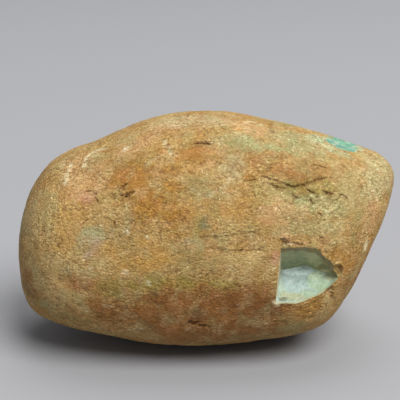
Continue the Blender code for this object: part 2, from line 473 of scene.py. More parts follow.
def makeCrackPaths(paths):
    # one wire mesh of all paths, whose points carry the sizes there
    verts, edges = [], []
    sizes = {"width": [], "depth": [], "ledge": [], "dirt": []}
    tip, growth = cracks["tips"]
    for line, width, depth, ledge, dirt in paths:
        for i, place in enumerate(line):
            fromEnd = min(i, len(line) - 1 - i) / (len(line) - 1)
            taper = min(1.0, tip + growth * fromEnd)
            if i:
                edges.append((len(verts) - 1, len(verts)))
            verts.append(place)
            sizes["width"].append(width * taper * mm)
            sizes["depth"].append(depth * taper * mm)
            sizes["ledge"].append(ledge * min(1.0, cracks["ledgeGrowth"] * fromEnd) * mm)
            sizes["dirt"].append(dirt * taper)
    mesh = bpy.data.meshes.new("crackPaths")
    mesh.from_pydata(verts, edges, [])
    for name, values in sizes.items():
        mesh.attributes.new(name, "FLOAT", "POINT").data.foreach_set("value", values)
    wires = bpy.data.objects.new("crackPaths", mesh)
    scene.collection.objects.link(wires)
    return wires


def refineNear(piece, places, reach, cuts):
    # a finer mesh where faces lie this near to one of the places
    near = KDTree(len(places))
    for i, place in enumerate(places):
        near.insert(place, i)
    near.balance()
    shape = bmesh.new()
    shape.from_mesh(piece.data)
    edges = set()
    for face in shape.faces:
        if near.find(face.calc_center_median())[2] < reach * mm:
            edges.update(face.edges)
    bmesh.ops.subdivide_edges(shape, edges=list(edges), cuts=cuts, use_grid_fill=True)
    shape.to_mesh(piece.data)
    shape.free()


def newTree(name, sockets):
    # a Geometry Nodes tree with a geometry in and out, and these named inputs
    tree = bpy.data.node_groups.new(name, "GeometryNodeTree")
    tree.interface.new_socket("Geometry", in_out="OUTPUT", socket_type="NodeSocketGeometry")
    tree.interface.new_socket("Geometry", in_out="INPUT", socket_type="NodeSocketGeometry")
    for socket, kind in sockets.items():
        tree.interface.new_socket(socket, in_out="INPUT", socket_type="NodeSocket" + kind)
    return tree, addNode(tree, "NodeGroupInput")


def endTree(tree, geometry, material):
    real = addNode(tree, "GeometryNodeRealizeInstances", {"Geometry": geometry})[0]
    finish = addNode(tree, "GeometryNodeSetMaterial", {"Geometry": real, "Material": material})[0]
    addNode(tree, "NodeGroupOutput", {"Geometry": finish})


def grow(piece, tree, values):
    # runs a tree on a piece and keeps the plain mesh that comes out
    modifier = piece.modifiers.new(tree.name, "NODES")
    modifier.node_group = tree
    for item in tree.interface.items_tree:
        if item.in_out == "INPUT" and item.name in values:
            modifier[item.identifier] = values[item.name]
    evaluated(piece)


def moveSkin(tree, geometry, height, material):
    # ends a tree by moving the skin along its normal by a height
    facing = addNode(tree, "GeometryNodeInputNormal")[0]
    offset = addNode(tree, "ShaderNodeVectorMath", {0: facing, "Scale": height}, operation="SCALE")[0]
    moved = addNode(tree, "GeometryNodeSetPosition", {"Geometry": geometry, "Offset": offset})[0]
    endTree(tree, moved, material)


def weatherTree(material):
    # broad swells, lumps and grit, each a noise that moves the skin along its normal
    layers = ("Swell", "Lump", "Grit")
    sockets = {f"{layer} {what}": "Float" for layer in layers for what in ("Height", "Size")}
    tree, given = newTree("weathering", sockets)
    place = addNode(tree, "GeometryNodeInputPosition")[0]
    height = 0.0
    for i, layer in enumerate(layers):
        scale = addNode(tree, "ShaderNodeMath", {0: 1.0, 1: given[f"{layer} Size"]}, operation="DIVIDE")[0]
        aside = (i * 3.1, 7.7, i * 1.7)   # so that no layer repeats another
        moved = addNode(tree, "ShaderNodeVectorMath", {0: place, 1: aside}, operation="ADD")[0]
        wave = addNode(tree, "ShaderNodeTexNoise", {"Vector": moved, "Scale": scale, "Detail": 1.5})["Fac"]
        level = addNode(tree, "ShaderNodeMath", {0: wave, 1: 0.5}, operation="SUBTRACT")[0]
        height = addNode(tree, "ShaderNodeMath", {0: level, 1: given[f"{layer} Height"], 2: height},
                         operation="MULTIPLY_ADD")[0]
    moveSkin(tree, given["Geometry"], height, material)
    return tree


def crackTree(material):
    # follows the wire paths with a wobble, and sinks or raises the skin near them
    lengths = ("Step", "Wobble", "Wobble Size", "Ragged Size", "Ledge Reach")
    tree, given = newTree("cracks", {"Paths": "Object", **{name: "Float" for name in lengths}})
    wires = addNode(tree, "GeometryNodeObjectInfo", {"Object": given["Paths"]}, transform_space="RELATIVE")
    lines = addNode(tree, "GeometryNodeMeshToCurve", {"Mesh": wires["Geometry"]})[0]
    fine = addNode(tree, "GeometryNodeResampleCurve", {"Curve": lines, "Length": given["Step"]},
                   mode="LENGTH")[0]
    place = addNode(tree, "GeometryNodeInputPosition")[0]
    scale = addNode(tree, "ShaderNodeMath", {0: 1.0, 1: given["Wobble Size"]}, operation="DIVIDE")[0]
    wave = addNode(tree, "ShaderNodeTexNoise",
                   {"Vector": place, "Scale": scale, "Detail": 3.0, "Roughness": 0.65})["Color"]
    level = addNode(tree, "ShaderNodeVectorMath", {0: wave, 1: (0.5, 0.5, 0.5)}, operation="SUBTRACT")[0]
    double = addNode(tree, "ShaderNodeMath", {0: given["Wobble"], 1: 2.0}, operation="MULTIPLY")[0]
    shift = addNode(tree, "ShaderNodeVectorMath", {0: level, "Scale": double}, operation="SCALE")[0]
    bent = addNode(tree, "GeometryNodeSetPosition", {"Geometry": fine, "Offset": shift})[0]
    wire = addNode(tree, "GeometryNodeCurveToMesh", {"Curve": bent})[0]

    # the nearest place on the wires, and the sizes that its point carries
    near = addNode(tree, "GeometryNodeProximity", {"Geometry": wire}, target_element="EDGES")
    index = addNode(tree, "GeometryNodeSampleNearest", {"Geometry": wire})[0]
    there = {}
    for name in ("width", "depth", "ledge", "dirt"):
        value = addNode(tree, "GeometryNodeInputNamedAttribute", {"Name": name}, data_type="FLOAT")[0]
        there[name] = addNode(tree, "GeometryNodeSampleIndex",
                              {"Geometry": wire, "Value": value, "Index": index},
                              data_type="FLOAT", domain="POINT")[0]

    # 1 in the bottom of the crack, falling to 0 at its ragged edge, and a halo of dirt and painted shade past
    # that
    narrow, wide = cracks["ragged"]
    often = addNode(tree, "ShaderNodeMath", {0: 1.0, 1: given["Ragged Size"]}, operation="DIVIDE")[0]
    rough = addNode(tree, "ShaderNodeTexNoise", {"Vector": place, "Scale": often, "Detail": 1.0})["Fac"]
    ragged = addNode(tree, "ShaderNodeMapRange", {"Value": rough, "From Min": 0.3, "From Max": 0.7,
                                                  "To Min": narrow, "To Max": wide})[0]
    width = addNode(tree, "ShaderNodeMath", {0: there["width"], 1: ragged}, operation="MULTIPLY")[0]
    far = addNode(tree, "ShaderNodeMath", {0: near["Distance"], 1: width}, operation="DIVIDE")[0]
    share = addNode(tree, "ShaderNodeMapRange", {"Value": far, "From Min": 1.0, "From Max": 0.0},
                    interpolation_type="SMOOTHSTEP")[0]
    cut = addNode(tree, "ShaderNodeMath", {0: share, 1: there["depth"]}, operation="MULTIPLY")[0]
    start, end = cracks["haloReach"]
    halo = addNode(tree, "ShaderNodeMapRange",
                   {"Value": far, "From Min": end, "From Max": start, "To Max": cracks["halo"]},
                   interpolation_type="SMOOTHSTEP")[0]
    darkened = addNode(tree, "ShaderNodeMath", {0: share, 1: halo}, operation="MAXIMUM")[0]
    # the crack's dark share: dirt, and painted shade where the crack is too fine to shade itself
    dirt = addNode(tree, "ShaderNodeMath", {0: darkened, 1: there["dirt"]}, operation="MULTIPLY")[0]

    # below a ledge the skin is lower, less and less away from it
    start, end = cracks["ledgeEdge"]
    away = addNode(tree, "ShaderNodeVectorMath", {0: near["Position"], 1: place}, operation="SUBTRACT")[0]
    drop = addNode(tree, "ShaderNodeSeparateXYZ", {0: away})["Z"]
    side = addNode(tree, "ShaderNodeMapRange", {"Value": drop, "From Min": start * mm, "From Max": end * mm},
                   interpolation_type="SMOOTHSTEP")[0]
    fade = addNode(tree, "ShaderNodeMapRange",
                   {"Value": near["Distance"], "From Min": given["Ledge Reach"], "From Max": 0.0},
                   interpolation_type="SMOOTHSTEP")[0]
    both = addNode(tree, "ShaderNodeMath", {0: side, 1: fade}, operation="MULTIPLY")[0]
    deep = addNode(tree, "ShaderNodeMath", {0: both, 1: there["ledge"], 2: cut}, operation="MULTIPLY_ADD")[0]
    height = addNode(tree, "ShaderNodeMath", {0: deep, 1: -1.0}, operation="MULTIPLY")[0]
    marked = addNode(tree, "GeometryNodeStoreNamedAttribute",
                     {"Geometry": given["Geometry"], "Name": "crack", "Value": dirt},
                     data_type="FLOAT", domain="POINT")[0]
    moveSkin(tree, marked, height, material)
    return tree


def pitTree(material):
    # shallow round pits strewn over the skin, each with its own width
    tree, given = newTree("pits", {"Density": "Float", "Least Radius": "Float", "Most Radius": "Float",
                                   "Depth": "Float", "Seed": "Int"})
    spots = addNode(tree, "GeometryNodeDistributePointsOnFaces",
                    {"Mesh": given["Geometry"], "Density": given["Density"], "Seed": given["Seed"]},
                    distribute_method="RANDOM")["Points"]
    draw = addNode(tree, "FunctionNodeRandomValue",
                   {2: given["Least Radius"], 3: given["Most Radius"], "Seed": given["Seed"]},
                   data_type="FLOAT")[1]
    sized = addNode(tree, "GeometryNodeStoreNamedAttribute",
                    {"Geometry": spots, "Name": "radius", "Value": draw},
                    data_type="FLOAT", domain="POINT")[0]
    near = addNode(tree, "GeometryNodeProximity", {"Geometry": sized}, target_element="POINTS")["Distance"]
    index = addNode(tree, "GeometryNodeSampleNearest", {"Geometry": sized})[0]
    value = addNode(tree, "GeometryNodeInputNamedAttribute", {"Name": "radius"}, data_type="FLOAT")[0]
    radius = addNode(tree, "GeometryNodeSampleIndex", {"Geometry": sized, "Value": value, "Index": index},
                     data_type="FLOAT", domain="POINT")[0]
    far = addNode(tree, "ShaderNodeMath", {0: near, 1: radius}, operation="DIVIDE")[0]
    share = addNode(tree, "ShaderNodeMapRange", {"Value": far, "From Min": 1.0, "From Max": 0.2},
                    interpolation_type="SMOOTHSTEP")[0]
    deep = addNode(tree, "ShaderNodeMath", {0: given["Depth"], 1: radius}, operation="MULTIPLY")[0]
    sunk = addNode(tree, "ShaderNodeMath", {0: share, 1: deep}, operation="MULTIPLY")[0]
    height = addNode(tree, "ShaderNodeMath", {0: sunk, 1: -1.0}, operation="MULTIPLY")[0]
    marked = addNode(tree, "GeometryNodeStoreNamedAttribute",
                     {"Geometry": given["Geometry"], "Name": "pit", "Value": share},
                     data_type="FLOAT", domain="POINT")[0]
    moveSkin(tree, marked, height, material)
    return tree


weathering = {     # heights and sizes in m
    "Swell Height": 0.0022, "Swell Size": 0.034,
    "Lump Height": 0.0009, "Lump Size": 0.010,
    "Grit Height": 0.00042, "Grit Size": 0.0028,
}

pits = {
    "Density": 16000.0,       # for each square metre, about 900 in all
    "Least Radius": 0.0005,   # m
    "Most Radius": 0.0017,
    "Depth": 0.28,            # of the radius
    "Seed": 5,
}


# The window is a wedge, mm: each point of its mouth lies on a line from the crease inside,
# where ceiling and floor meet, out through the skin
window = {
    "crease": {
        "left": (35.2, -34.5, 45.7),
        "middle": (45.8, -33.0, 47.1),
        "right": (58.5, -39.0, 44.6),
    },
    "mouth": (
        ("left", (33.7, -49.1, 61.5)),
        ("middle", (45.4, -46.5, 61.2)),
        ("middle", (50.9, -45.2, 59.3)),
        ("middle", (56.6, -43.7, 53.7)),
        ("right", (60.4, -41.7, 45.0)),
        ("right", (56.1, -43.8, 42.7)),
        ("middle", (50.7, -45.8, 39.2)),
        ("middle", (44.3, -47.6, 36.0)),
        ("left", (31.7, -50.5, 36.3)),
    ),
    "runOut": 1.5,                 # how far it runs on past the skin, 1 for to its mouth
    "faceSize": 0.55,              # mm
    "sawnSide": -0.8,              # its walls that face this far to the left, of 1, are sawn
    "ceilingSide": 0.2,            # and those that face this far up are the ceiling
    "ceilingRough": (1.1, 4.5),    # height and size of its lumps, mm
    "floorRough": (0.5, 6.0),
    "sawMarks": (0.06, 1.6),
    "finer": (0.5, 2.3),           # smaller lumps on those: their height, and how many times finer
    "hackly": (0.30, 1.5),         # small rough breaks in the ceiling, mm
    "relief": {                    # by pixel, as on the skin: more than nothing leaves stone standing
        "step in the ceiling": ((321, 261), (7, 4.5), 50, 1.1),
        "step at the tip": ((331, 268), (5, 4), 50, 0.7),
        "bulge in the ceiling": ((311, 259), (5, 7), -15, 0.7),
        "dip at the crease": ((304, 267), (8, 4), 0, -0.5),
        "lump on the floor": ((313, 280), (9, 5), -20, 0.4),
        "gash in the lip": ((283, 298.2), (7, 1.5), 2, -0.9),
        "hollow in the floor": ((293, 286), (9, 7), 0, -0.4),
    },
    "reach": 2.4,                  # mm of skin round its mouth that get a finer mesh
    "cuts": 1,
    "sideSteps": 12,               # places along each side of the mouth, for that mesh
}

# The polished spot is a shallow dish, mm, as a grinding wheel leaves it. Only its middle is
# polished, between two pixels' columns, and it runs out matt and dull to both sides
dish = {
    "middle": (65.0, -6.0, 96.1),
    "facing": (0.29, -0.09, 0.96),
    "radius": 60.0,                # of the ball that cuts it
    "fineness": 6,                 # how often that ball's faces are divided
    "reach": 22.0,                 # mm round the spot's middle, where it is finer still
    "cuts": 2,
    "polishedFrom": (326, 139),    # pixels
    "polishedTo": (356, 150),
    "polishedNear": 3.6,           # mm of it in front of its middle
    "runOut": 1.6,                 # mm from polished to dull
    "cloudSize": 2.4,              # mm, of the milky clouds and of the ragged edge
    "ragged": 0.8,                 # mm that the edge wanders
    "clouds": (2.2, 0.8),          # contrast and strength
}


def roughen(points, facings):
    # the window's walls as the saw and the break leave them
    finerHeight, times = window["finer"]
    smallHeight, smallSize = window["hackly"]
    for i, facing in enumerate(facings):
        sawn = facing[0] < window["sawnSide"]
        ceiling = not sawn and facing[2] > window["ceilingSide"]
        height, size = window["sawMarks" if sawn else "ceilingRough" if ceiling else "floorRough"]
        place = Vector(points[i]) / (size * mm)
        level = noise.noise(place) + finerHeight * noise.noise(place * times + Vector((5, 1, 8)))
        if ceiling:
            small = noise.noise(Vector(points[i]) / (smallSize * mm)) * smallHeight
            level += small * 2 / height
        points[i] += facing * level * height * 0.5 * mm


def makeWindowCutter(material):
    shape = bmesh.new()
    for point in window["crease"].values():
        shape.verts.new(Vector(point) * mm)
    for inner, mouth in window["mouth"]:
        crease = Vector(window["crease"][inner])
        shape.verts.new((crease + (Vector(mouth) - crease) * window["runOut"]) * mm)
    hull = bmesh.ops.convex_hull(shape, input=shape.verts)
    unused = [item for item in hull["geom_interior"] if isinstance(item, bmesh.types.BMVert)]
    bmesh.ops.delete(shape, geom=unused, context="VERTS")
    bmesh.ops.recalc_face_normals(shape, faces=shape.faces)
    cutter = newPiece("windowCutter", shape)
    remesh = cutter.modifiers.new("fine", "REMESH")
    remesh.mode = "VOXEL"
    remesh.voxel_size = window["faceSize"] * mm
    evaluated(cutter)

    walls = treeOf(cutter.data)
    points, facings = pointsOf(cutter.data), normalsOf(cutter.data)
    for place, halfSizes, turn, height in window["relief"].values():
        share = frameShares(points, *patchFrame(place, halfSizes, turn, walls)) ** 2
        points = points - facings * (share * height * mm)[:, None]
    roughen(points, facings)
    setPoints(cutter.data, points)
    cutter.data.materials.clear()
    cutter.data.materials.append(material)
    cutter.data.shade_smooth()
    return cutter


def makeDishCutter(material):
    middle = Vector(dish["middle"]) + Vector(dish["facing"]).normalized() * dish["radius"]
    shape = bmesh.new()
    bmesh.ops.create_icosphere(shape, subdivisions=dish["fineness"], radius=dish["radius"] * mm)
    bmesh.ops.translate(shape, vec=middle * mm, verts=shape.verts)
    cutter = newPiece("dishCutter", shape)
    refineNear(cutter, [Vector(dish["middle"]) * mm], dish["reach"], dish["cuts"])
    cutter.data.materials.append(material)
    cutter.data.shade_smooth()
    return cutter


def cutWith(piece, cutter):
    taking = piece.modifiers.new(cutter.name, "BOOLEAN")
    taking.operation = "DIFFERENCE"
    taking.solver = "EXACT"
    taking.material_mode = "TRANSFER"
    taking.object = cutter
    evaluated(piece)
    bpy.data.objects.remove(cutter, do_unlink=True)


# Materials. The paint gives each its broad colours, and the nodes its grain. A Mix node takes its
# share and two colours at 0, 6 and 7, and gives the colour at 2
def newMaterial(name):
    # a material, with its tree, its surface, and a socket of the piece's own coordinates
    material = bpy.data.materials.new(name)
    material.use_nodes = True
    tree = material.node_tree
    place = addNode(tree, "ShaderNodeTexCoord")["Object"]
    return material, tree, tree.nodes["Principled BSDF"], place


def addSpots(tree, place, size, edge, strength, detail=2.0, roughness=0.5):
    # soft spots of about this size in mm: a noise that fades in between the two levels of its edge
    wave = addNode(tree, "ShaderNodeTexNoise", {"Vector": place, "Scale": 1 / (size * mm),
                                                "Detail": detail, "Roughness": roughness})["Fac"]
    return addNode(tree, "ShaderNodeMapRange", {"Value": wave, "From Min": edge[0], "From Max": edge[1],
                                                "To Max": strength})[0]


rindLook = {
    "stains": (                       # size in mm, colour and strength
        (9.0, "#8A8655", 0.35),       # green
        (6.0, "#92602C", 0.30),       # rusty
        (7.5, "#B8A473", 0.30),       # pale
        (5.0, "#B78459", 0.22),       # pink
    ),
    "stainEdge": (0.50, 0.68),
    "layers": (0.8, 0.9, 1.2),        # along each axis, how much finer the grain is: it lies flat
    "grains": (1.1, 0.42),            # size in mm and contrast of the sand grains
    "sand": (1.0, 2.0),               # and of the finer sand between them
    "darkest": -0.7,                  # of the grain's light and dark together
    "calmSize": 14.0,                 # mm, of the places where the grain is weaker or stronger
    "calm": (0.55, 1.35),             # how strong it is in the calmest and in the liveliest of them
    "grainTint": (0.88, 1.0, 1.25),   # dark grains are redder than light ones
    "flecks": (1.2, (0.60, 0.72), 0.8, 2.0, 0.8),   # size in mm, edge, strength, detail, roughness
    "fleckTint": (0.9, 1.35, 2.6),    # how much brighter a fleck is in red, green and blue
    "pores": (1.8, (0.61, 0.70), 0.6, 2.0, 0.8),
    "poreColour": "#5C4121",
    "pitDirt": (0.2, 0.4),            # the depth from which a pit holds dirt, of 1, and its strength
    "crackDirtAndShade": (0.05, 0.9),         # where the dirt and painted shade in a crack begin, and where they are full
    # the colour of a crack's dirt, which also paints the shade deep in it
    "crackDirtAndShadeColour": "#5A3817",
    "roughness": (0.7, 0.95),
    "bump": 0.55,                     # mm
    "grainBump": -0.5,                # of that, how deep the joints between the grains lie
}


def rindMaterial():
    # weathered jadeite rind: dull, sandy, rough like fine sandstone, with darker dirt in its pores
    material, tree, surface, place = newMaterial("weathered jadeite rind")
    colour = addNode(tree, "ShaderNodeAttribute", attribute_name="tint", attribute_type="GEOMETRY")["Color"]
    crack = addNode(tree, "ShaderNodeAttribute", attribute_name="crack", attribute_type="GEOMETRY")["Fac"]
    pit = addNode(tree, "ShaderNodeAttribute", attribute_name="pit", attribute_type="GEOMETRY")["Fac"]

    # soft stains between the painted patches
    for size, hue, strength in rindLook["stains"]:
        share = addSpots(tree, place, size, rindLook["stainEdge"], strength)
        colour = addNode(tree, "ShaderNodeMix", {0: share, 6: colour, 7: linear(hue)}, data_type="RGBA")[2]

    # sand grains that lie in flat layers, lighter and darker, more so in some places
    flat = addNode(tree, "ShaderNodeVectorMath", {0: place, 1: rindLook["layers"]}, operation="MULTIPLY")[0]
    grainSize, grainContrast = rindLook["grains"]
    grains = addNode(tree, "ShaderNodeTexVoronoi", {"Vector": flat, "Scale": 1 / (grainSize * mm)})
    tone = addNode(tree, "ShaderNodeSeparateColor", {"Color": grains["Color"]})["Red"]
    sandSize, sandContrast = rindLook["sand"]
    sand = addNode(tree, "ShaderNodeTexNoise", {"Vector": flat, "Scale": 1 / (sandSize * mm), "Detail": 3.0,
                                                "Roughness": 0.7, "Distortion": 0.4})["Fac"]
    middle = -(sandContrast + grainContrast) / 2
    level = addNode(tree, "ShaderNodeMath", {0: sand, 1: sandContrast, 2: middle},
                    operation="MULTIPLY_ADD")[0]
    level = addNode(tree, "ShaderNodeMath", {0: tone, 1: grainContrast, 2: level},
                    operation="MULTIPLY_ADD")[0]
    broad = addNode(tree, "ShaderNodeTexNoise", {"Vector": place, "Scale": 1 / (rindLook["calmSize"] * mm),
                                                 "Detail": 1.0})["Fac"]
    calmest, liveliest = rindLook["calm"]
    much = addNode(tree, "ShaderNodeMapRange", {"Value": broad, "From Min": 0.35, "From Max": 0.65,
                                                "To Min": calmest, "To Max": liveliest})[0]
    level = addNode(tree, "ShaderNodeMath", {0: level, 1: much}, operation="MULTIPLY")[0]
    level = addNode(tree, "ShaderNodeMath", {0: level, 1: rindLook["darkest"]}, operation="MAXIMUM")[0]
    shade = addNode(tree, "ShaderNodeVectorMath", {0: rindLook["grainTint"], "Scale": level},
                    operation="SCALE")[0]
    colour = addNode(tree, "ShaderNodeVectorMath", {0: colour, 1: shade, 2: colour},
                     operation="MULTIPLY_ADD")[0]

    # pale flecks where a crystal shows
    share = addSpots(tree, place, *rindLook["flecks"])
    gleam = addNode(tree, "ShaderNodeVectorMath", {0: rindLook["fleckTint"], "Scale": share},
                    operation="SCALE")[0]
    colour = addNode(tree, "ShaderNodeVectorMath", {0: colour, 1: gleam, 2: colour},
                     operation="MULTIPLY_ADD")[0]

    # dark pores here and there, dirt in the pits, and dirt with painted shade deep in the cracks
    pores = addSpots(tree, flat, *rindLook["pores"])
    start, most = rindLook["pitDirt"]
    inPits = addNode(tree, "ShaderNodeMapRange", {"Value": pit, "From Min": start, "To Max": most})[0]
    start, full = rindLook["crackDirtAndShade"]
    inCracks = addNode(tree, "ShaderNodeMapRange", {"Value": crack, "From Min": start, "From Max": full})[0]
    for share, kind in ((pores, "poreColour"), (inPits, "poreColour"), (inCracks, "crackDirtAndShadeColour")):
        colour = addNode(tree, "ShaderNodeMix", {0: share, 6: colour, 7: linear(rindLook[kind])},
                         data_type="RGBA")[2]
    tree.links.new(colour, surface.inputs["Base Color"])

    smooth, dull = rindLook["roughness"]
    rough = addNode(tree, "ShaderNodeMapRange", {"Value": sand, "To Min": smooth, "To Max": dull})[0]
    tree.links.new(rough, surface.inputs["Roughness"])
    surface.inputs["IOR"].default_value = 1.5
    surface.inputs["Specular IOR Level"].default_value = 0.3
    height = addNode(tree, "ShaderNodeMath", {0: grains["Distance"], 1: rindLook["grainBump"], 2: sand},
                     operation="MULTIPLY_ADD")[0]
    bump = addNode(tree, "ShaderNodeBump", {"Strength": 1.0, "Distance": rindLook["bump"] * mm,
                                            "Height": height})[0]
    tree.links.new(bump, surface.inputs["Normal"])
    return material


freshLook = {
    "clouds": (2.6, 0.7),             # size in mm and contrast
    "crystals": (1.1, 0.16),
    "level": 0.57,                    # of the painted colour, where clouds and crystals are darkest
    "dots": (1.0, (0.60, 0.72), 0.5, 1.0),   # size in mm, edge, strength and detail
    "dotColour": "#5F7A78",
    "bump": (0.4, 0.6),               # mm, and strength
    "crystalBump": -0.4,              # of that, how deep the joints between the crystals lie
}


def freshMaterial():
    # sawn and broken jadeite: pale, waxy, of interlocked crystals about 1 mm wide
    material, tree, surface, place = newMaterial("sawn fresh jadeite")
    tint = addNode(tree, "ShaderNodeAttribute", attribute_name="tint", attribute_type="GEOMETRY")["Color"]
    size, contrast = freshLook["clouds"]
    cloud = addNode(tree, "ShaderNodeTexNoise", {"Vector": place, "Scale": 1 / (size * mm), "Detail": 5.0,
                                                 "Roughness": 0.75})["Fac"]
    level = addNode(tree, "ShaderNodeMath", {0: cloud, 1: contrast, 2: freshLook["level"]},
                    operation="MULTIPLY_ADD")[0]
    size, contrast = freshLook["crystals"]
    crystals = addNode(tree, "ShaderNodeTexVoronoi", {"Vector": place, "Scale": 1 / (size * mm)})
    tone = addNode(tree, "ShaderNodeSeparateColor", {"Color": crystals["Color"]})["Red"]
    shade = addNode(tree, "ShaderNodeMath", {0: tone, 1: contrast, 2: level}, operation="MULTIPLY_ADD")[0]
    colour = addNode(tree, "ShaderNodeVectorMath", {0: tint, "Scale": shade}, operation="SCALE")[0]
    share = addSpots(tree, place, *freshLook["dots"])
    colour = addNode(tree, "ShaderNodeMix", {0: share, 6: colour, 7: linear(freshLook["dotColour"])},
                     data_type="RGBA")[2]
    tree.links.new(colour, surface.inputs["Base Color"])
    surface.inputs["Roughness"].default_value = 0.5
    surface.inputs["IOR"].default_value = 1.66
    height = addNode(tree, "ShaderNodeMath", {0: crystals["Distance"], 1: freshLook["crystalBump"], 2: cloud},
                     operation="MULTIPLY_ADD")[0]
    deep, strength = freshLook["bump"]
    bump = addNode(tree, "ShaderNodeBump", {"Strength": strength, "Distance": deep * mm, "Height": height})[0]
    tree.links.new(bump, surface.inputs["Normal"])
    return material


polishedLook = {
    "clouds": (3.0, 0.9),             # size in mm and contrast
    "level": 0.55,                    # of the painted colour, where the clouds are darkest
    "roughness": (0.2, 0.8),          # polished, and where the spot runs out
}


def polishedMaterial():
    # polished jadeite: turquoise green with a glassy gloss, matt where the spot runs out
    material, tree, surface, place = newMaterial("polished jadeite")
    tint = addNode(tree, "ShaderNodeAttribute", attribute_name="tint", attribute_type="GEOMETRY")["Color"]
    worn = addNode(tree, "ShaderNodeAttribute", attribute_name="worn", attribute_type="GEOMETRY")["Fac"]
    size, contrast = polishedLook["clouds"]
    cloud = addNode(tree, "ShaderNodeTexNoise", {"Vector": place, "Scale": 1 / (size * mm),
                                                 "Detail": 4.0})["Fac"]
    shade = addNode(tree, "ShaderNodeMath", {0: cloud, 1: contrast, 2: polishedLook["level"]},
                    operation="MULTIPLY_ADD")[0]
    colour = addNode(tree, "ShaderNodeVectorMath", {0: tint, "Scale": shade}, operation="SCALE")[0]
    tree.links.new(colour, surface.inputs["Base Color"])
    smooth, dull = polishedLook["roughness"]
    rough = addNode(tree, "ShaderNodeMapRange", {"Value": worn, "To Min": smooth, "To Max": dull})[0]
    tree.links.new(rough, surface.inputs["Roughness"])
    surface.inputs["IOR"].default_value = 1.66
    return material


rind = rindMaterial()
fresh = freshMaterial()
polished = polishedMaterial()

pressRelief(pebble)
spots = [place for line, *_ in seenPaths() for place in line]
refineNear(pebble, spots, cracks["seenReach"], cracks["seenCuts"])
spots = [place for line, *_ in strayPaths() for place in line]
refineNear(pebble, spots, cracks["strayReach"], cracks["strayCuts"])
corners = [Vector(mouth) * mm for _, mouth in window["mouth"]]
spots = [
    start.lerp(end, i / window["sideSteps"])
    for start, end in zip(corners, corners[1:] + corners[:1])
    for i in range(window["sideSteps"])
]
refineNear(pebble, spots, window["reach"], window["cuts"])
grow(pebble, weatherTree(rind), weathering)
skinNow = treeOf(pebble.data)

wires = makeCrackPaths(seenPaths() + strayPaths())
crackInputs = {
    "Paths": wires,
    "Step": cracks["fineStep"] * mm,
    "Wobble": cracks["wobble"] * mm,
    "Wobble Size": cracks["wobbleSize"] * mm,
    "Ragged Size": cracks["raggedSize"] * mm,
    "Ledge Reach": cracks["ledgeReach"] * mm,
}
grow(pebble, crackTree(rind), crackInputs)
bpy.data.objects.remove(wires, do_unlink=True)
grow(pebble, pitTree(rind), pits)

# the stone is cut flat where it would reach below the floor, which makes its rest spot
points = pointsOf(pebble.data)
points[:, 2] = np.maximum(points[:, 2], 0.0)
setPoints(pebble.data, points)
print("weathered and cracked:", countTriangles(pebble.data), "triangles")

windowCutter = makeWindowCutter(fresh)
windowWalls = treeOf(windowCutter.data)
cutWith(pebble, windowCutter)
cutWith(pebble, makeDishCutter(polished))
print("window and dish cut:", countTriangles(pebble.data), "triangles")


# Paint. Each colour is the stone's own, without the light on it, except the patches named as painted light or
# painted shade
palette = {
    "sand": "#A3824A",
    "pale sand": "#B99C64",
    "gold": "#B78B44",
    "light gold": "#C8A05C",
    "ochre": "#9B6F2D",
    "orange": "#A8703A",
    "peach": "#B48C5C",
    "pink": "#AE8860",
    "salmon": "#BE8468",
    "mauve": "#AE9074",
    "tan": "#96733D",
    "sage": "#928C5C",
    "grey green": "#A49F74",
    "mist": "#B4B08C",
    "olive": "#887632",
    "slate": "#67664A",
    "brown": "#73491E",
    "red brown": "#824F1E",
    "rust": "#8F5A2C",
    "umber": "#5C4024",
    "cream": "#D8CAA0",
    "window floor": "#96AA98",
    "window blue": "#9AADA7",
    "pale aqua": "#CFE2DE",
    "mint": "#99AF88",
    "pale mint": "#C6D8B6",
    "straw": "#969565",
    "ivory": "#C0B18C",
    "window ceiling": "#949A6B",
    "deep olive": "#758055",
    "bright olive": "#B8B988",
    "lip brown": "#80703F",
    "verdigris": "#9FA77E",
    "turquoise": "#659A80",
    "pale turquoise": "#A3B396",
}

